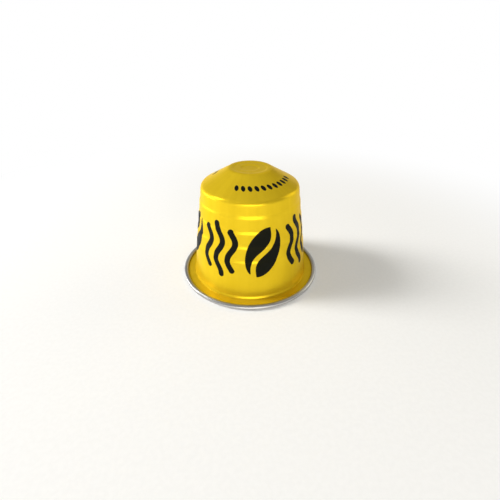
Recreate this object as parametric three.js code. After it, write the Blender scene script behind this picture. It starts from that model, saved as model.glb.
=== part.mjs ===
// A single-serve coffee pod: a deep-drawn aluminium cup, closed by a foil lid sealed under its flange.
// Millimetres, +Z up. The origin is on the axis, in the plane that the pod stands on, lid down.
import * as THREE from 'three';

// Radii, from the small end outwards to the rolled rim
const smallEndRadius = 5.1;         // where the cone's line meets the flat small end
const coneWidth = 6.9;              // from there out to the shoulder
const wallSpread = 3.12;            // gain in radius from the shoulder down to the foot's flare
const footFlare = 0.27;             // further gain over the flare
const flangeWidth = 2.56;           // from the foot out to the centre of the rolled rim
const rollRadius = 0.6;             // section of the rolled rim
const rollFlatWidth = 0.36;         // narrow flat that the rim stands on

// Heights, from the flange upwards
const flangeThickness = 0.12;
const flangeDrop = 0.02;            // of the flange's middle below the centre of the rolled rim
const footRise = 0.22;              // step from the flange up to the foot's edge
const flareHeight = 0.55;
const wallHeight = 23.42;           // from the flare up to the shoulder
const coneHeight = 3.9;

// Shallow forming steps around the wall: the wall is wider below each
const ringCount = 4;
const lowestRingRise = 9.41;        // above the flare
const highestRingDrop = 3.3;        // below the shoulder
const ringStep = 0.15;              // gain in radius at each step
const ringSlopeHeight = 0.65;       // height of the sloping face of a step

// Pressed centre of the small end
const smallEndBand = 0.75;          // flat band left around the dish
const dishDepth = 0.12;
const dimpleRadius = 2.4;
const dimpleDepth = 0.14;           // below the floor of the dish
const pressSlopeWidth = 0.55;       // width of the sloping wall of the dish and the dimple

// Rounding of the profile's corners
const creaseRound = 0.12;
const footRound = 0.15;
const flareRound = 1.2;
const ringRound = 1.2;
const shoulderRound = 1.35;
const smallEndRound = 1.0;
const pressRound = 0.8;

// Foil lid, sealed to the underside of the flange inside the rolled rim
const lidThickness = 0.08;
const lidEdgeClearance = 0.08;

// Fineness of the faceted surfaces
const turnSegments = 72;
const arcStepAngle = THREE.MathUtils.degToRad(20);

// Places that follow from the sizes
const shoulderRadius = smallEndRadius + coneWidth;
const wallFootRadius = shoulderRadius + wallSpread;
const footRadius = wallFootRadius + footFlare;
const rollFlatAngle = Math.asin(rollFlatWidth / 2 / rollRadius);
const rollCentre = new THREE.Vector2(footRadius + flangeWidth, rollRadius * Math.cos(rollFlatAngle));
const sealHeight = rollCentre.y - flangeDrop - flangeThickness / 2;
const flangeTop = sealHeight + flangeThickness;
const footHeight = flangeTop + footRise;
const wallFootHeight = footHeight + flareHeight;
const shoulderHeight = wallFootHeight + wallHeight;
const podHeight = shoulderHeight + coneHeight;

const lacquer = new THREE.MeshStandardMaterial({ color: 0xf2c21c, roughness: 0.35, metalness: 0.9 });
const foil = new THREE.MeshStandardMaterial({ color: 0xc9cbce, roughness: 0.3, metalness: 1.0 });

// Points of an arc about a centre, from one angle to another, with both ends.
function arcPoints(centre, radius, startAngle, endAngle) {
  const steps = Math.max(1, Math.ceil(Math.abs(endAngle - startAngle) / arcStepAngle));
  const points = [];
  for (let i = 0; i <= steps; i += 1) {
    const angle = startAngle + ((endAngle - startAngle) * i) / steps;
    points.push(new THREE.Vector2(
      centre.x + radius * Math.cos(angle),
      centre.y + radius * Math.sin(angle),
    ));
  }
  return points;
}

// A corner of an outline: its radius from the axis, its height, and the rounding that it gets.
function corner(radius, height, round = 0) {
  return { at: new THREE.Vector2(radius, height), round };
}

// Replaces each corner by a tangent arc, which takes at most half of the shorter side next to it.
function roundCorners(corners) {
  const points = [];
  corners.forEach(({ at, round }, i) => {
    if (round === 0) {
      points.push(at);
      return;
    }
    const back = corners[i - 1].at.clone().sub(at);
    const ahead = corners[i + 1].at.clone().sub(at);
    const room = Math.min(back.length(), ahead.length()) / 2;
    back.normalize();
    ahead.normalize();
    const halfAngle = Math.acos(THREE.MathUtils.clamp(back.dot(ahead), -1, 1)) / 2;
    const tangent = Math.min(round / Math.tan(halfAngle), room);
    const radius = tangent * Math.tan(halfAngle);
    const inward = back.clone().add(ahead).normalize();
    const centre = at.clone().addScaledVector(inward, radius / Math.sin(halfAngle));
    const start = at.clone().addScaledVector(back, tangent).sub(centre).angle();
    const end = at.clone().addScaledVector(ahead, tangent).sub(centre).angle();
    const turn = THREE.MathUtils.euclideanModulo(end - start + Math.PI, 2 * Math.PI) - Math.PI;
    points.push(...arcPoints(centre, radius, start, start + turn));
  });
  return points;
}

// Section of the rolled rim, from the flange's underside round the outside to the flange's top.
function rollPoints() {
  const inwardAngleAt = (height) => Math.PI - Math.asin((height - rollCentre.y) / rollRadius);
  const down = 1.5 * Math.PI;
  return [
    ...arcPoints(rollCentre, rollRadius, inwardAngleAt(sealHeight), down - rollFlatAngle),
    ...arcPoints(rollCentre, rollRadius, down + rollFlatAngle, 2 * Math.PI + inwardAngleAt(flangeTop)),
  ];
}

// Radius of the wall at a height, below a number of the steps.
function wallRadiusAt(height, stepsAbove) {
  const draft = (wallSpread - ringCount * ringStep) / wallHeight;
  return shoulderRadius + draft * (shoulderHeight - height) + stepsAbove * ringStep;
}

// Corners of the wall, from the foot's flare up to the shoulder.
function wallCorners() {
  const corners = [corner(wallFootRadius, wallFootHeight, flareRound)];
  const pitch = (wallHeight - lowestRingRise - highestRingDrop) / (ringCount - 1);
  for (let ring = 0; ring < ringCount; ring += 1) {
    const middle = wallFootHeight + lowestRingRise + ring * pitch;
    const low = middle - ringSlopeHeight / 2;
    const high = middle + ringSlopeHeight / 2;
    const stepsAbove = ringCount - ring;
    corners.push(corner(wallRadiusAt(low, stepsAbove), low, ringRound));
    corners.push(corner(wallRadiusAt(high, stepsAbove - 1), high, ringRound));
  }
  corners.push(corner(shoulderRadius, shoulderHeight, shoulderRound));
  return corners;
}

// Corners of the pressed small end, from the cone's top edge in to the axis.
function smallEndCorners() {
  const dishRadius = smallEndRadius - smallEndBand;
  const dishFloor = podHeight - dishDepth;
  const dimpleFloor = dishFloor - dimpleDepth;
  return [
    corner(smallEndRadius, podHeight, smallEndRound),
    corner(dishRadius, podHeight, pressRound),
    corner(dishRadius - pressSlopeWidth, dishFloor, pressRound),
    corner(dimpleRadius, dishFloor, pressRound),
    corner(dimpleRadius - pressSlopeWidth, dimpleFloor, pressRound),
    corner(0, dimpleFloor),
  ];
}

// Turns an outline of radii and heights about the Z axis into a named mesh.
function turned(name, outline, material) {
  const geometry = new THREE.LatheGeometry(outline, turnSegments);
  geometry.rotateX(Math.PI / 2);
  const mesh = new THREE.Mesh(geometry, material);
  mesh.name = name;
  return mesh;
}

// The pod is sealed and full, so the cup is turned as one solid with its contents.
function makeCup() {
  const roll = rollPoints();
  const shell = roundCorners([
    corner(roll.at(-1).x, flangeTop),
    corner(footRadius, flangeTop, creaseRound),
    corner(footRadius, footHeight, footRound),
    ...wallCorners(),
    ...smallEndCorners(),
  ]);
  const axisPoint = new THREE.Vector2(0, sealHeight);
  return turned('cup', [axisPoint, ...roll, ...shell.slice(1)], lacquer);
}

// A flat disc of foil that covers the flange's underside up to the rolled rim.
function makeLid() {
  const edge = rollPoints()[0].x - lidEdgeClearance;
  return turned('lid_foil', [
    new THREE.Vector2(0, sealHeight - lidThickness),
    new THREE.Vector2(edge, sealHeight - lidThickness),
    new THREE.Vector2(edge, sealHeight),
    new THREE.Vector2(0, sealHeight),
  ], foil);
}

const pod = new THREE.Group();
pod.add(makeCup(), makeLid());

export default pod;
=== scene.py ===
"""A single-serve coffee pod on a white floor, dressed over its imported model.

The cup is drawn from one sheet of aluminium: yellow lacquer outside, bare metal on the rolled rim.
Its surface is a profile of radii and heights, rounded at its corners and carried around the Z axis.
The foil lid is sealed inside the rim, under the flange. Sizes are in millimetres until a mesh is made.
"""

import logging
import math
from collections.abc import Sequence
from dataclasses import dataclass, field
from enum import Enum

import bpy
import numpy as np
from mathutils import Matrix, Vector


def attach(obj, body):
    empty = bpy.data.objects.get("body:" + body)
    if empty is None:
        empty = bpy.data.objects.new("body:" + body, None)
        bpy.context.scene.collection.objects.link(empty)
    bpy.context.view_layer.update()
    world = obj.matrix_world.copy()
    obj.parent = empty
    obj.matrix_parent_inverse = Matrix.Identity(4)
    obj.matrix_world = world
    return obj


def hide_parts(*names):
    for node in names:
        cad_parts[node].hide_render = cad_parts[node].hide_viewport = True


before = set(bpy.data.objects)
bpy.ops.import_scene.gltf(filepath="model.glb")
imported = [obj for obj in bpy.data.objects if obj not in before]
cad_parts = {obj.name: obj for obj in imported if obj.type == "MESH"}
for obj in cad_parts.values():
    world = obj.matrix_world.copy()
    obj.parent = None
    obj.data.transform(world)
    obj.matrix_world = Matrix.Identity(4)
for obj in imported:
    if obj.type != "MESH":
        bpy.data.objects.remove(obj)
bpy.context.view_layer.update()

LOG = logging.getLogger("coffee_pod")
MM = 0.001

# Ranges that a noise, and the sum of two, mostly keep to
ONE_NOISE = (0.3, 0.7)
TWO_NOISES = (0.7, 1.3)
FULL = (0.0, 1.0)

Input = float | Sequence[float] | bpy.types.NodeSocket
Inputs = dict[str | int, Input]
Span = tuple[float, float]


class Slot(Enum):
    """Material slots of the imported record."""

    LACQUER = "yellow_lacquer"
    BARE = "bare_aluminium"


class Motif(Enum):
    """Drawings that are printed around the wall, in turn."""

    BEAN = "coffee bean"
    STEAM = "rising steam"


@dataclass(frozen=True)
class Corner:
    """A corner of a profile, with the rounding that it gets, in millimetres."""

    radius: float
    height: float
    round: float = 0.0

    @property
    def at(self) -> np.ndarray:
        """The corner as a point of (radius, height)."""
        return np.array((self.radius, self.height))


def arc(centre: np.ndarray, radius: float, start: float, end: float, step: float) -> np.ndarray:
    """Points of an arc: the centre plus the radius times (cosine, sine) of evenly spaced angles.

    Args:
        centre: the arc's centre as (radius from the axis, height).
        radius: the arc's own radius.
        start: the first angle, in radians.
        end: the last angle, in radians.
        step: the widest angle between two points.

    Returns:
        An array of points, with both ends.
    """
    count = max(2, math.ceil(abs(end - start) / step) + 1)
    angles = np.linspace(start, end, count)
    return centre + radius * np.column_stack((np.cos(angles), np.sin(angles)))


def round_corners(corners: Sequence[Corner], step: float) -> np.ndarray:
    """Replaces each corner by an arc that touches both of its sides.

    The tangent length is the rounding over the tangent of half the corner's angle, kept within half
    of the shorter side, and the centre lies on the bisector at the radius over that half angle's sine.

    Args:
        corners: the corners in order.
        step: the widest angle between two points of an arc, in radians.

    Returns:
        An array of (radius, height) points.
    """
    parts = []
    for index, corner in enumerate(corners):
        if corner.round == 0.0:
            parts.append(corner.at[None, :])
            continue
        back = corners[index - 1].at - corner.at
        ahead = corners[index + 1].at - corner.at
        room = min(np.linalg.norm(back), np.linalg.norm(ahead)) / 2.0
        back = back / np.linalg.norm(back)
        ahead = ahead / np.linalg.norm(ahead)
        half = math.acos(float(np.clip(back @ ahead, -1.0, 1.0))) / 2.0
        tangent = min(corner.round / math.tan(half), room)
        radius = tangent * math.tan(half)
        bisector = (back + ahead) / np.linalg.norm(back + ahead)
        centre = corner.at + bisector * radius / math.sin(half)
        first = corner.at + back * tangent - centre
        last = corner.at + ahead * tangent - centre
        start = math.atan2(first[1], first[0])
        turn = math.atan2(last[1], last[0]) - start
        turn = (turn + math.pi) % math.tau - math.pi
        parts.append(arc(centre, radius, start, start + turn, step))
    return np.concatenate(parts)


def resample(points: np.ndarray, spacing: float) -> np.ndarray:
    """Adds evenly spaced points to each stretch of a profile that is longer than a spacing.

    Args:
        points: the (radius, height) points.
        spacing: the widest distance wanted between two points.

    Returns:
        The profile with the added points.
    """
    lengths = np.linalg.norm(np.diff(points, axis=0), axis=1)
    pieces = np.maximum(1, np.ceil(lengths / spacing).astype(int))
    knots = np.concatenate(([0.0], np.cumsum(lengths)))
    stops = [np.linspace(knots[i], knots[i + 1], pieces[i], endpoint=False) for i in range(len(pieces))]
    runs = np.concatenate([*stops, knots[-1:]])
    return np.column_stack((np.interp(runs, knots, points[:, 0]), np.interp(runs, knots, points[:, 1])))


def revolve(
    name: str, profile: np.ndarray, turns: int, relief: np.ndarray | None = None
) -> bpy.types.Object:
    """Carries a profile that starts and ends on the axis around Z, as one closed mesh.

    A point of the surface is (radius cos a, radius sin a, height plus relief), for the angle a of its
    column. Each end is one shared vertex, closed by a fan.

    Args:
        name: the new object's name.
        profile: (radius, height) points in millimetres, outwards first and then up.
        turns: number of columns around the axis.
        relief: heights to add, one row for each inner point of the profile and one column for each turn.

    Returns:
        The new object, at the origin, in metres.
    """
    rows = profile[1:-1]
    angles = np.linspace(0.0, math.tau, turns, endpoint=False)
    grid = np.empty((len(rows), turns, 3))
    grid[..., 0] = rows[:, :1] * np.cos(angles)
    grid[..., 1] = rows[:, :1] * np.sin(angles)
    grid[..., 2] = rows[:, 1:]
    if relief is not None:
        grid[..., 2] += relief
    ends = np.array(((0.0, 0.0, profile[0, 1]), (0.0, 0.0, profile[-1, 1])))
    vertices = np.concatenate((grid.reshape(-1, 3), ends)) * MM

    index = np.arange(len(rows) * turns).reshape(len(rows), turns)
    beside = np.roll(index, -1, axis=1)
    quads = np.stack((index[:-1], beside[:-1], beside[1:], index[1:]), axis=-1).reshape(-1, 4)
    low_pole = np.full(turns, index.size)
    high_pole = low_pole + 1
    low_fan = np.column_stack((low_pole, beside[0], index[0]))
    high_fan = np.column_stack((index[-1], beside[-1], high_pole))

    loops = np.concatenate((quads.ravel(), low_fan.ravel(), high_fan.ravel())).astype(np.int32)
    sizes = np.concatenate((np.full(len(quads), 4), np.full(2 * turns, 3)))
    starts = np.concatenate(([0], np.cumsum(sizes)[:-1])).astype(np.int32)
    mesh = bpy.data.meshes.new(name)
    mesh.vertices.add(len(vertices))
    mesh.vertices.foreach_set("co", vertices.astype(np.float32).ravel())
    mesh.loops.add(len(loops))
    mesh.loops.foreach_set("vertex_index", loops)
    mesh.polygons.add(len(starts))
    mesh.polygons.foreach_set("loop_start", starts)
    mesh.polygons.foreach_set("use_smooth", np.ones(len(starts), dtype=bool))
    mesh.update(calc_edges=True)
    mesh.validate()
    made = bpy.data.objects.new(name, mesh)
    bpy.context.collection.objects.link(made)
    return made


class Graph:
    """Adds the nodes of one material or world, and links them."""

    def __init__(self, tree: bpy.types.NodeTree) -> None:
        """Starts an empty tree."""
        self.tree = tree
        tree.nodes.clear()

    def node(self, kind: str, inputs: Inputs | None = None, **settings: object) -> bpy.types.Node:
        """Adds a node.

        Args:
            kind: Blender's name of the node's type.
            inputs: a number, colour or socket for each input, by its name or place.
            settings: the node's own settings.

        Returns:
            The new node.
        """
        made = self.tree.nodes.new(kind)
        for name, setting in settings.items():
            setattr(made, name, setting)
        for key, value in (inputs or {}).items():
            if isinstance(value, bpy.types.NodeSocket):
                self.tree.links.new(value, made.inputs[key])
            else:
                made.inputs[key].default_value = value
        return made

    def math(self, operation: str, first: Input, second: Input = 0.0) -> bpy.types.NodeSocket:
        """The result of a Math node with two values."""
        return self.node("ShaderNodeMath", {0: first, 1: second}, operation=operation).outputs[0]

    def vector(self, operation: str, first: Input, second: Input = (0.0, 0.0, 0.0)) -> bpy.types.Node:
        """A Vector Math node with two vectors."""
        return self.node("ShaderNodeVectorMath", {0: first, 1: second}, operation=operation)

    def join(self, x: Input, y: Input, z: Input) -> bpy.types.NodeSocket:
        """A vector of three values."""
        return self.node("ShaderNodeCombineXYZ", {0: x, 1: y, 2: z}).outputs[0]

    def noise(self, where: Input, grain: float, detail: float = 2.0) -> bpy.types.NodeSocket:
        """Noise whose lumps are about grain metres across, mostly inside ONE_NOISE."""
        inputs = {"Vector": where, "Scale": 1.0 / grain, "Detail": detail}
        return self.node("ShaderNodeTexNoise", inputs).outputs[0]

    def span(self, value: Input, source: Span, result: Span) -> bpy.types.NodeSocket:
        """Carries a value from one range to another, smoothly and clamped."""
        inputs = {0: value, 1: source[0], 2: source[1], 3: result[0], 4: result[1]}
        return self.node("ShaderNodeMapRange", inputs, interpolation_type="SMOOTHSTEP").outputs[0]

    def blend(self, share: Input, first: Input, second: Input) -> bpy.types.NodeSocket:
        """Mixes two colours by a share of the second."""
        inputs = {"Factor": share, 6: first, 7: second}
        return self.node("ShaderNodeMix", inputs, data_type="RGBA").outputs[2]

    def in_sight(self) -> bpy.types.NodeSocket:
        """One for what the camera sees, straight or through gloss and glass, and zero for other rays."""
        rays = self.node("ShaderNodeLightPath").outputs
        seen = self.math("MAXIMUM", rays["Is Camera Ray"], rays["Is Glossy Ray"])
        return self.math("MAXIMUM", seen, rays["Is Transmission Ray"])

    def around_axis(self) -> tuple[bpy.types.NodeSocket, bpy.types.NodeSocket, bpy.types.NodeSocket]:
        """Object coordinates for a turned piece.

        Returns:
            The place itself, (radius, 0, height) for rings, and the direction away from the axis.
        """
        place = self.node("ShaderNodeTexCoord").outputs["Object"]
        apart = self.node("ShaderNodeSeparateXYZ", {0: place})
        flat = self.join(apart.outputs[0], apart.outputs[1], 0.0)
        radius = self.vector("LENGTH", flat).outputs["Value"]
        rings = self.join(radius, 0.0, apart.outputs[2])
        outward = self.vector("NORMALIZE", flat).outputs[0]
        return place, rings, outward


def new_graph(name: str) -> tuple[bpy.types.Material, Graph]:
    """Makes a material by its name, with an empty node tree."""
    material = bpy.data.materials.new(name)
    material.use_nodes = True
    return material, Graph(material.node_tree)


@dataclass(frozen=True)
class LacquerFinish:
    """Yellow lacquer over drawn aluminium, with the black print on it.

    The print follows the attribute that holds each point's distance from the edge of the ink.
    """

    deep: tuple[float, float, float, float] = (0.78, 0.535, 0.017, 1.0)
    bright: tuple[float, float, float, float] = (0.82, 0.57, 0.020, 1.0)
    ink: tuple[float, float, float, float] = (0.003, 0.0055, 0.0075, 1.0)
    smoothest: float = 0.31
    roughest: float = 0.34
    ink_roughness: float = 0.5
    ink_edge: float = 0.03
    metal_share: float = 0.5
    specular: float = 0.1
    edge_tint: tuple[float, float, float, float] = (1.0, 0.78, 0.12, 1.0)
    mottle_grain: float = 0.004
    streak_grain: float = 0.12
    ring_grain: float = 0.00012
    peel_grain: float = 0.0003
    bump_height: float = 0.0000012
    attribute: str = "ink_distance"

    def material(self) -> bpy.types.Material:
        """Makes the material, with a mottled tint, streaked gloss, and a bump of fine lines and peel."""
        made, graph = new_graph("yellow_lacquer_with_print")
        place, rings, outward = graph.around_axis()
        mottle = graph.noise(place, self.mottle_grain, detail=3.0)
        streaks = graph.noise(outward, self.streak_grain)
        tint = graph.span(graph.math("ADD", mottle, streaks), TWO_NOISES, FULL)
        yellow = graph.blend(tint, self.deep, self.bright)

        distance = graph.node("ShaderNodeAttribute", attribute_name=self.attribute).outputs["Fac"]
        inked = graph.span(distance, (-self.ink_edge, self.ink_edge), (1.0, 0.0))
        gloss = graph.span(streaks, ONE_NOISE, (self.smoothest, self.roughest))
        duller = graph.math("MULTIPLY", inked, self.ink_roughness - self.roughest)

        lines = graph.noise(rings, self.ring_grain, detail=3.0)
        peel = graph.noise(place, self.peel_grain)
        relief = graph.math("ADD", lines, peel)
        grained = {"Strength": 1.0, "Distance": self.bump_height, "Height": relief}
        bump = graph.node("ShaderNodeBump", grained)
        shader = graph.node(
            "ShaderNodeBsdfPrincipled",
            {
                "Base Color": graph.blend(inked, yellow, self.ink),
                "Metallic": graph.math("MULTIPLY", self.metal_share, graph.math("SUBTRACT", 1.0, inked)),
                "Roughness": graph.math("ADD", gloss, duller),
                "Specular IOR Level": self.specular,
                "Specular Tint": self.edge_tint,
                "Normal": bump.outputs[0],
            },
        )
        graph.node("ShaderNodeOutputMaterial", {0: shader.outputs[0]})
        return made


@dataclass(frozen=True)
class BareMetalFinish:
    """Bare aluminium, with fine lines around the axis and a tint that clouds at random."""

    name: str = "bare_rolled_aluminium"
    dull: tuple[float, float, float, float] = (0.46, 0.455, 0.45, 1.0)
    bright: tuple[float, float, float, float] = (0.55, 0.545, 0.54, 1.0)
    smoothest: float = 0.33
    roughest: float = 0.38
    cloud_grain: float = 0.0025
    line_grain: float = 0.0001
    bump_height: float = 0.0000003

    def material(self) -> bpy.types.Material:
        """Makes the material, with a clouded tint and gloss, and a bump of fine lines."""
        made, graph = new_graph(self.name)
        place, rings, _ = graph.around_axis()
        clouds = graph.noise(place, self.cloud_grain, detail=4.0)
        lines = graph.noise(rings, self.line_grain, detail=3.0)
        tint = graph.span(graph.math("ADD", clouds, lines), TWO_NOISES, FULL)
        grained = {"Strength": 1.0, "Distance": self.bump_height, "Height": lines}
        bump = graph.node("ShaderNodeBump", grained)
        shader = graph.node(
            "ShaderNodeBsdfPrincipled",
            {
                "Base Color": graph.blend(tint, self.dull, self.bright),
                "Metallic": 1.0,
                "Roughness": graph.span(clouds, ONE_NOISE, (self.smoothest, self.roughest)),
                "Normal": bump.outputs[0],
            },
        )
        graph.node("ShaderNodeOutputMaterial", {0: shader.outputs[0]})
        return made


@dataclass(frozen=True)
class FloorFinish:
    """A plain white studio floor that fades into the white around it. Its radii are in metres."""

    colour: tuple[float, float, float, float] = (0.98, 0.97, 0.945, 1.0)
    speckle_shade: float = 0.97
    near_glow: float = 0.17
    near: float = 0.05
    far: float = 0.14
    grain: float = 0.0008

    def material(self) -> bpy.types.Material:
        """Makes the material: what is in sight of it glows, fully so from the far radius."""
        made, graph = new_graph("studio_floor")
        place, rings, _ = graph.around_axis()
        speckle = graph.noise(place, self.grain, detail=3.0)
        shade = tuple(self.speckle_shade * channel for channel in self.colour[:3]) + (1.0,)
        tint = graph.blend(graph.span(speckle, ONE_NOISE, FULL), shade, self.colour)
        matt = graph.node("ShaderNodeBsdfDiffuse", {"Color": tint})
        glow = graph.node("ShaderNodeEmission", {"Color": (1.0, 1.0, 1.0, 1.0), "Strength": 1.0})
        radius = graph.node("ShaderNodeSeparateXYZ", {0: rings}).outputs[0]
        share = graph.span(radius, (self.near, self.far), (self.near_glow, 1.0))
        shown = graph.math("MULTIPLY", share, graph.in_sight())
        mixed = graph.node("ShaderNodeMixShader", {0: shown, 1: matt.outputs[0], 2: glow.outputs[0]})
        graph.node("ShaderNodeOutputMaterial", {0: mixed.outputs[0]})
        return made


@dataclass(frozen=True)
class Bean:
    """A filled coffee bean, drawn in ink with its winding crease left bare."""

    half_width: float
    half_length: float
    tilt: float
    crease: float = 0.0
    swing: float = 0.0

    def distance(self, across: np.ndarray, along: np.ndarray) -> np.ndarray:
        """Signed distance from the bean's ink, negative inside it.

        The outline is an ellipse, by the usual estimate k (k - 1) / |gradient|. The crease is the
        band around one wave of a sine that runs along the long axis.

        Args:
            across: places across the bean, in millimetres.
            along: places along it.

        Returns:
            The distances, in millimetres.
        """
        x = across * math.cos(self.tilt) - along * math.sin(self.tilt)
        y = across * math.sin(self.tilt) + along * math.cos(self.tilt)
        level = np.hypot(x / self.half_width, y / self.half_length)
        slope = np.maximum(np.hypot(x / self.half_width**2, y / self.half_length**2), 1e-6)
        outline = level * (level - 1.0) / slope
        if self.crease == 0.0:
            return outline
        phase = math.pi * y / self.half_length
        steepness = self.swing * math.pi / self.half_length * np.cos(phase)
        band = np.abs(x - self.swing * np.sin(phase)) / np.hypot(1.0, steepness) - self.crease / 2.0
        return np.maximum(outline, -band)


@dataclass(frozen=True)
class Print:
    """A generic print: coffee beans and steam around the wall, and small beans on the cone."""

    motifs: tuple[Motif, ...] = (Motif.BEAN, Motif.STEAM)
    repeats: int = 4
    first_bean: float = math.radians(13.0)
    middle_height: float = 13.0
    bean: Bean = Bean(half_width=3.9, half_length=6.4, tilt=math.radians(22.0), crease=1.2, swing=1.1)
    steam_height: float = 12.6
    steam_gap: float = 3.2
    steam_sway: float = 0.85
    steam_wave: float = 8.4
    stroke: float = 1.45
    small_bean: Bean = Bean(half_width=0.48, half_length=0.82, tilt=math.radians(22.0))
    small_beans: int = 36
    cone_radius: float = 8.65
    cone_band: tuple[float, float] = (math.radians(30.0), math.radians(55.0))

    def steam(self, across: np.ndarray, along: np.ndarray) -> np.ndarray:
        """Signed distance from three strokes that sway as sines, with round ends.

        Args:
            across: places across the strokes, in millimetres.
            along: places along them.

        Returns:
            The distance from the nearest stroke's edge, negative in the ink.
        """
        nearest = np.full(across.shape, np.inf)
        for place in (-1, 0, 1):
            half = (self.steam_height / 2.0) - abs(place) * self.stroke
            held = np.clip(along, -half, half)
            phase = math.tau * held / self.steam_wave
            steepness = self.steam_sway * math.tau / self.steam_wave * np.cos(phase)
            aside = across - place * self.steam_gap - self.steam_sway * np.sin(phase)
            beyond = along - held
            inside = np.abs(aside) / np.hypot(1.0, steepness)
            away = np.where(beyond == 0.0, inside, np.hypot(aside, beyond))
            nearest = np.minimum(nearest, away - self.stroke / 2.0)
        return nearest

    def distance(
        self, angle: np.ndarray, radius: np.ndarray, height: np.ndarray, run: np.ndarray
    ) -> np.ndarray:
        """Signed distance from the nearest ink at each point of the cup, negative in the ink.

        Around the wall the angle is folded into one repeat, and each motif lies at its share of it.
        On the cone it is folded into the pitch of the small beans, inside two opposite bands.

        Args:
            angle: angles from the front, rising to the right, in radians.
            radius: radii, in millimetres.
            height: heights.
            run: distances along the profile from the middle of the cone's print.

        Returns:
            The distances, in millimetres.
        """
        repeat = math.tau / self.repeats
        share = repeat / len(self.motifs)
        nearest = np.full(angle.shape, np.inf)
        for place, motif in enumerate(self.motifs):
            turn = angle - self.first_bean - place * share
            across = radius * ((turn + repeat / 2.0) % repeat - repeat / 2.0)
            along = height - self.middle_height
            if motif is Motif.BEAN:
                drawn = self.bean.distance(across, along)
            else:
                drawn = self.steam(across, along)
            nearest = np.minimum(nearest, drawn)

        pitch = math.tau / self.small_beans
        middle, half_band = self.cone_band
        folded = (angle - middle + math.pi / 2.0) % math.pi - math.pi / 2.0
        across = radius * ((angle - middle + pitch / 2.0) % pitch - pitch / 2.0)
        small = self.small_bean.distance(across, run)
        small = np.maximum(small, radius * (np.abs(folded) - half_band))
        return np.minimum(nearest, np.where(np.abs(run) < 2.0 * self.small_bean.half_length, small, np.inf))


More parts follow.
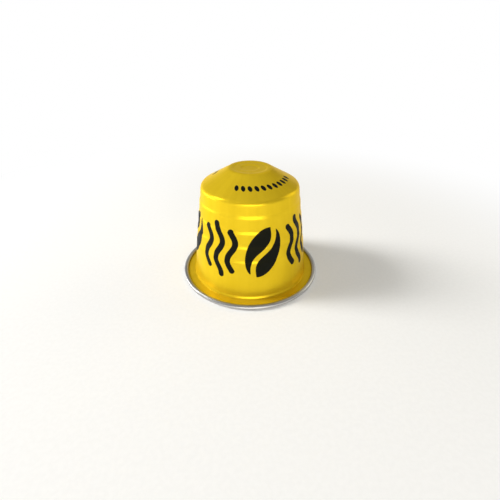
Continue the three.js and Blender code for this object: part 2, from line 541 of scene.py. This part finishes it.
@dataclass
class Cup:
    """The drawn cup: pressed small end, cone, stepped wall, foot, flange and rolled rim, in one sheet."""

    small_end_radius: float = 5.1
    cone_width: float = 6.9
    wall_spread: float = 3.12
    foot_flare: float = 0.27
    flange_width: float = 2.56
    roll_radius: float = 0.6
    curl_gap: float = 0.2
    sheet: float = 0.12
    flange_drop: float = 0.02
    roll_flat: float = 0.36
    foot_rise: float = 0.22
    flare_height: float = 0.55
    wall_height: float = 23.42
    cone_height: float = 3.9
    ring_count: int = 4
    lowest_ring_rise: float = 9.41
    highest_ring_drop: float = 3.3
    ring_step: float = 0.15
    ring_slope_height: float = 0.65
    small_end_band: float = 0.75
    dish_depth: float = 0.12
    dimple_radius: float = 2.4
    dimple_depth: float = 0.14
    press_slope: float = 0.55
    crease_round: float = 0.12
    foot_round: float = 0.15
    flare_round: float = 1.2
    ring_round: float = 1.2
    shoulder_round: float = 1.35
    small_end_round: float = 1.0
    press_round: float = 0.8
    turns: int = 440
    arc_step: float = math.radians(10.0)
    spacing: float = 0.31
    farthest_ink: float = 5.0
    artwork: Print = field(default_factory=Print)

    @property
    def shoulder_radius(self) -> float:
        """Radius at which the wall's line meets the cone's."""
        return self.small_end_radius + self.cone_width

    @property
    def foot_radius(self) -> float:
        """Radius of the step at the bottom of the wall."""
        return self.shoulder_radius + self.wall_spread + self.foot_flare

    @property
    def roll_centre(self) -> np.ndarray:
        """Centre of the rolled rim's section."""
        lift = math.sqrt(self.roll_radius**2 - (self.roll_flat / 2.0) ** 2)
        return np.array((self.foot_radius + self.flange_width, lift))

    @property
    def seal_height(self) -> float:
        """Height of the flange's underside."""
        return float(self.roll_centre[1]) - self.flange_drop - self.sheet / 2.0

    @property
    def flange_top(self) -> float:
        """Height of the flange's upper face."""
        return self.seal_height + self.sheet

    @property
    def foot_height(self) -> float:
        """Height of the step at the bottom of the wall."""
        return self.flange_top + self.foot_rise

    @property
    def shoulder_height(self) -> float:
        """Height at which the wall's line meets the cone's."""
        return self.foot_height + self.flare_height + self.wall_height

    def curl(self) -> tuple[np.ndarray, np.ndarray]:
        """Section of the rolled rim as sheet, rolled up and over the flange.

        Both faces are arcs about the roll's centre, a sheet's thickness apart. The outer one is
        flattened where the pod stands on it, and they end at the cut edge, a gap above the flange.

        Returns:
            The outer arc from the flange's underside to the cut edge, and the inner one back to the
            flange's upper face.
        """
        inner_radius = self.roll_radius - self.sheet
        edge = math.asin((self.flange_top + self.curl_gap - self.roll_centre[1]) / self.roll_radius)
        start = math.asin((self.seal_height - self.roll_centre[1]) / self.roll_radius)
        end = math.asin((self.flange_top - self.roll_centre[1]) / inner_radius)
        outer = arc(self.roll_centre, self.roll_radius, math.pi - start, 3.0 * math.pi - edge, self.arc_step)
        outer[:, 1] = np.maximum(outer[:, 1], 0.0)
        inner = arc(self.roll_centre, inner_radius, 3.0 * math.pi - edge, math.pi - end, 2.0 * self.arc_step)
        return outer, inner

    def wall_corners(self) -> list[Corner]:
        """Corners from the foot's flare up to the shoulder, with the wall wider below each ring.

        The wall's radius at a height is the shoulder's, plus the draft times the drop below the
        shoulder, plus one ring's step for each ring above.

        Returns:
            The corners, upwards.
        """
        bottom = self.foot_height + self.flare_height
        draft = (self.wall_spread - self.ring_count * self.ring_step) / self.wall_height
        pitch = (self.wall_height - self.lowest_ring_rise - self.highest_ring_drop) / (self.ring_count - 1)
        corners = [Corner(self.shoulder_radius + self.wall_spread, bottom, self.flare_round)]
        for ring in range(self.ring_count):
            middle = bottom + self.lowest_ring_rise + ring * pitch
            for side, rings_above in ((-0.5, self.ring_count - ring), (0.5, self.ring_count - ring - 1)):
                height = middle + side * self.ring_slope_height
                widening = draft * (self.shoulder_height - height) + rings_above * self.ring_step
                corners.append(Corner(self.shoulder_radius + widening, height, self.ring_round))
        corners.append(Corner(self.shoulder_radius, self.shoulder_height, self.shoulder_round))
        return corners

    def small_end_corners(self) -> list[Corner]:
        """Corners of the pressed small end, from the cone's edge in to the axis."""
        top = self.shoulder_height + self.cone_height
        dish = self.small_end_radius - self.small_end_band
        dish_floor = top - self.dish_depth
        dimple_floor = dish_floor - self.dimple_depth
        return [
            Corner(self.small_end_radius, top, self.small_end_round),
            Corner(dish, top, self.press_round),
            Corner(dish - self.press_slope, dish_floor, self.press_round),
            Corner(self.dimple_radius, dish_floor, self.press_round),
            Corner(self.dimple_radius - self.press_slope, dimple_floor, self.press_round),
            Corner(0.0, dimple_floor),
        ]

    def profile(self) -> tuple[np.ndarray, int]:
        """The whole outline, from the axis under the flange, around the rim and up to the small end.

        Returns:
            The (radius, height) points, and how many of them, from the first, are on bare metal.
        """
        outer, inner = self.curl()
        shell = round_corners(
            [
                Corner(float(inner[-1, 0]), self.flange_top),
                Corner(self.foot_radius, self.flange_top, self.crease_round),
                Corner(self.foot_radius, self.foot_height, self.foot_round),
                *self.wall_corners(),
                *self.small_end_corners(),
            ],
            self.arc_step,
        )
        bare = np.concatenate((((0.0, self.seal_height),), outer))
        return np.concatenate((bare, inner[:-1], resample(shell, self.spacing))), len(bare)

    def ink_distances(self, profile: np.ndarray) -> np.ndarray:
        """The print's signed distance at every vertex, in the mesh's own order.

        Args:
            profile: the outline's points.

        Returns:
            One distance for each vertex, in millimetres.
        """
        rows = profile[1:-1]
        radius = rows[:, :1]
        height = rows[:, 1:]
        around = np.linspace(0.0, math.tau, self.turns, endpoint=False)[None, :]
        angle = around + math.pi / 2.0 + 0.0 * radius
        slope = math.hypot(self.cone_width, self.cone_height) / self.cone_width
        on_cone = height > self.shoulder_height
        run = np.where(on_cone, (radius - self.artwork.cone_radius) * slope, np.inf) + 0.0 * around
        drawn = self.artwork.distance(angle, radius + 0.0 * around, height + 0.0 * around, run)
        drawn[np.broadcast_to(height < self.foot_height, drawn.shape)] = np.inf
        bare_poles = np.full(2, np.inf)
        return np.minimum(np.concatenate((drawn.ravel(), bare_poles)), self.farthest_ink)

    def build(self) -> bpy.types.Object:
        """Makes the cup, lacquered outside and bare on the rim's rolled face."""
        profile, bare_points = self.profile()
        cup = revolve("cup_shell", profile, self.turns)
        finish = LacquerFinish()
        layer = cup.data.attributes.new(finish.attribute, "FLOAT", "POINT")
        layer.data.foreach_set("value", self.ink_distances(profile).astype(np.float32))
        cup.data.materials.append(finish.material())
        cup.data.materials.append(BareMetalFinish().material())
        # The bands of quads come first, from the rim up, and then the fan under the flange, which is bare
        bands = len(profile) - 3
        slots = np.zeros(len(cup.data.polygons), dtype=np.int32)
        slots[: bands * self.turns] = np.repeat(np.arange(bands) < bare_points - 1, self.turns)
        slots[bands * self.turns : (bands + 1) * self.turns] = 1
        cup.data.polygons.foreach_set("material_index", slots)
        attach(cup, "root")
        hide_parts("cup")
        return cup


@dataclass
class FoilLid:
    """The foil lid: flat on the flange, pressed with a waffle along the seal, and swollen inside it."""

    cup: Cup
    thickness: float = 0.08
    edge_gap: float = 0.08
    edge_round: float = 0.03
    seal_inner: float = 15.4
    swell: float = 0.14
    waffle_pitch: float = 0.55
    waffle_depth: float = 0.02
    groove_width: float = 0.3
    groove_depth: float = 0.05
    crinkle_depth: float = 0.012
    coarse_folds: int = 23
    coarse_sway: float = 5.0
    sway_rate: float = 1.3
    cross_folds: int = 11
    cross_rate: float = 0.9
    fine_folds: int = 41
    fine_rate: float = 1.7
    fine_share: float = 0.6
    turns: int = 480
    arc_step: float = math.radians(30.0)
    spacing: float = 0.16

    def relief(self, radius: np.ndarray, angle: np.ndarray) -> np.ndarray:
        """Height to add to the lid's lower face at each point.

        Inside the seal it sinks by the swell times one less the square of the radius over the seal's,
        with crinkles as products of slow sines that fade out towards the middle and the seal. Along
        the seal it rises in a waffle, the product of two crossing sines, beside one plain groove.

        Args:
            radius: radii, in millimetres, as one column.
            angle: angles, as one row.

        Returns:
            The heights, one row for each radius.
        """
        inside = np.clip(radius / self.seal_inner, 0.0, 1.0)
        dome = -self.swell * (1.0 - inside**2) ** 1.5
        band = inside**2 * (1.0 - inside**6)
        sway = self.coarse_sway * np.sin(self.sway_rate * radius)
        coarse = np.sin(self.coarse_folds * angle + sway)
        crossing = np.sin(self.cross_folds * angle - self.cross_rate * radius)
        fine = np.sin(self.fine_folds * angle + self.fine_rate * radius)
        crinkle = coarse * crossing + self.fine_share * fine
        sealed = np.clip((radius - self.seal_inner) / self.waffle_pitch, 0.0, 1.0)
        pitches = math.tau * self.seal_inner / self.waffle_pitch
        steps = round(pitches / math.sqrt(2.0))
        lean = math.tau * radius / (self.waffle_pitch * math.sqrt(2.0))
        waffle = np.sin(steps * angle + lean) * np.sin(steps * angle - lean)
        groove = np.exp(-(((radius - self.seal_inner) / self.groove_width) ** 2))
        pressed = self.waffle_depth * sealed * waffle + self.groove_depth * groove
        return dome + self.crinkle_depth * band * crinkle + pressed

    def build(self) -> bpy.types.Object:
        """Makes the lid as one closed disc, with its upper face flat against the flange."""
        top = self.cup.seal_height
        low = top - self.thickness
        edge = float(self.cup.curl()[0][0, 0]) - self.edge_gap
        profile = round_corners(
            [
                Corner(0.0, low),
                Corner(edge, low, self.edge_round),
                Corner(edge, top, self.edge_round),
                Corner(0.0, top),
            ],
            self.arc_step,
        )
        face = resample(profile[:2], self.spacing)
        profile = np.concatenate((face, profile[2:]))
        rows = profile[1:-1]
        angle = np.linspace(0.0, math.tau, self.turns, endpoint=False)[None, :]
        lower = (np.arange(len(rows)) < len(face) - 2)[:, None]
        relief = np.where(lower, self.relief(rows[:, :1], angle), 0.0)
        profile[0, 1] += float(self.relief(np.zeros((1, 1)), angle).mean())
        lid = revolve("foil_lid", profile, self.turns, relief)
        foil = BareMetalFinish(
            name="sealing_foil",
            dull=(0.70, 0.70, 0.71, 1.0),
            bright=(0.82, 0.82, 0.83, 1.0),
            smoothest=0.31,
            roughest=0.38,
            cloud_grain=0.0012,
            line_grain=0.0002,
        )
        lid.data.materials.append(foil.material())
        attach(lid, "root")
        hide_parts("lid_foil")
        return lid


@dataclass(frozen=True)
class Lamp:
    """A rectangular studio lamp that looks at the pod.

    Angles are in degrees and lengths in metres. Glossy surfaces show the lamp only where it is mirrored.
    """

    name: str
    azimuth: float
    elevation: float
    distance: float
    width: float
    height: float
    power: float
    colour: tuple[float, float, float] = (1.0, 1.0, 1.0)
    mirrored: bool = True

    def build(self, target: Vector) -> bpy.types.Object:
        """Adds the lamp at its azimuth from +X, its elevation and its distance, aimed at a point."""
        light = bpy.data.lights.new(self.name, "AREA")
        light.shape = "RECTANGLE"
        light.size = self.width
        light.size_y = self.height
        light.energy = self.power
        light.color = self.colour
        lamp = bpy.data.objects.new(self.name, light)
        azimuth = math.radians(self.azimuth)
        elevation = math.radians(self.elevation)
        flat = self.distance * math.cos(elevation)
        offset = (flat * math.cos(azimuth), flat * math.sin(azimuth), self.distance * math.sin(elevation))
        lamp.location = target + Vector(offset)
        lamp.rotation_euler = (target - lamp.location).to_track_quat("-Z", "Y").to_euler()
        lamp.visible_camera = False
        lamp.visible_glossy = self.mirrored
        bpy.context.collection.objects.link(lamp)
        return lamp


@dataclass
class Studio:
    """The floor, lamps, surroundings and camera, in metres. A sky is pairs of a height and a grey."""

    floor_radius: float = 1.5
    floor_thickness: float = 0.005
    floor_turns: int = 96
    aim: Vector = field(default_factory=lambda: Vector((0.0, 0.0, 0.012)))
    lamps: tuple[Lamp, ...] = (
        Lamp("key_from_the_left", 174.0, 32.0, 0.80, 0.20, 0.30, 5.0, mirrored=False),
        Lamp("card_beside_the_key", 181.0, 36.0, 0.80, 0.20, 0.30, 1.5),
        Lamp("low_left_card", 166.0, 5.0, 0.45, 0.24, 0.08, 0.60),
        Lamp("low_front_card", -86.0, 9.0, 0.45, 0.40, 0.14, 0.80, (1.0, 0.97, 0.88)),
        Lamp("fill_from_the_right", 20.0, 26.0, 0.45, 0.22, 0.22, 0.28, (1.0, 0.93, 0.66)),
        Lamp("fill_from_behind", 72.0, 43.0, 0.45, 0.22, 0.22, 0.05, (1.0, 0.93, 0.66)),
    )
    sky: tuple[Span, ...] = ((0.0, 1.0), (0.11, 1.0), (0.22, 0.13), (0.70, 0.16), (1.0, 0.46))
    sky_in_sight: tuple[Span, ...] = ((0.0, 1.0), (0.12, 1.0), (0.27, 0.29), (0.62, 0.27), (1.0, 0.46))
    camera_height: float = 0.05265
    camera_back: float = 0.07199
    camera_pitch: float = math.radians(33.44)
    lens: float = 22.26
    sensor: float = 36.0
    clip: Span = (0.001, 10.0)

    def build_floor(self) -> bpy.types.Object:
        """Makes the floor, a thin disc whose upper face is at the height zero."""
        bottom = -self.floor_thickness / MM
        reach = self.floor_radius / MM
        middle = reach / 10.0
        profile = np.array(((0.0, bottom), (reach, bottom), (reach, 0.0), (middle, 0.0), (0.0, 0.0)))
        floor = revolve("studio_floor", profile, self.floor_turns)
        floor.data.materials.append(FloorFinish().material())
        return floor

    def ramp(
        self, graph: Graph, height: bpy.types.NodeSocket, levels: tuple[Span, ...]
    ) -> bpy.types.NodeSocket:
        """Greys of the surroundings by height.

        Args:
            graph: the world's graph.
            height: the socket of the height, from 0 at the horizon to 1 overhead.
            levels: pairs of a height and a grey.

        Returns:
            The socket of the colour.
        """
        ramp = graph.node("ShaderNodeValToRGB", {0: height})
        stops = ramp.color_ramp.elements
        stops.remove(stops[-1])
        for place, (at, level) in enumerate(levels):
            stop = stops.new(at) if place else stops[0]
            stop.position = at
            stop.color = (level, level, level, 1.0)
        return ramp.outputs[0]

    def build_sky(self) -> None:
        """Lights the surroundings by height: white at the horizon, grey above it, paler overhead.

        What the camera, gloss and glass see of the grey is paler than what lights the pod.
        """
        world = bpy.data.worlds.new("studio_surroundings")
        world.use_nodes = True
        graph = Graph(world.node_tree)
        direction = graph.node("ShaderNodeTexCoord").outputs["Generated"]
        height = graph.node("ShaderNodeSeparateXYZ", {0: direction}).outputs[2]
        unseen, shown = (self.ramp(graph, height, levels) for levels in (self.sky, self.sky_in_sight))
        colour = graph.blend(graph.in_sight(), unseen, shown)
        background = graph.node("ShaderNodeBackground", {"Color": colour, "Strength": 1.0})
        graph.node("ShaderNodeOutputWorld", {0: background.outputs[0]})
        bpy.context.scene.world = world

    def build_camera(self) -> None:
        """Puts the camera in front of the pod, above it and tilted down."""
        data = bpy.data.cameras.new("photo_view")
        data.lens = self.lens
        data.sensor_width = self.sensor
        data.clip_start, data.clip_end = self.clip
        camera = bpy.data.objects.new("photo_view", data)
        camera.location = (0.0, -self.camera_back, self.camera_height)
        camera.rotation_euler = (math.pi / 2.0 - self.camera_pitch, 0.0, 0.0)
        bpy.context.collection.objects.link(camera)
        bpy.context.scene.camera = camera

    def build(self) -> None:
        """Sets up everything around the pod."""
        self.build_floor()
        self.build_sky()
        self.build_camera()
        for lamp in self.lamps:
            lamp.build(self.aim)
        bpy.context.scene.view_settings.view_transform = "Standard"


def report(piece: bpy.types.Object) -> None:
    """Logs a piece's name, faces and size."""
    size = ", ".join(f"{side / MM:.2f}" for side in piece.dimensions)
    LOG.info("%s: %d faces, %s mm", piece.name, len(piece.data.polygons), size)


def write_sizes() -> None:
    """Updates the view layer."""
    bpy.context.view_layer.update()


def main() -> None:
    """Builds the pod and the studio around it, and reports each piece."""
    logging.basicConfig(level=logging.INFO, format="%(message)s")
    Studio().build()
    cup = Cup()
    report(cup.build())
    report(FoilLid(cup).build())
    write_sizes()


if __name__ == "__main__":
    main()
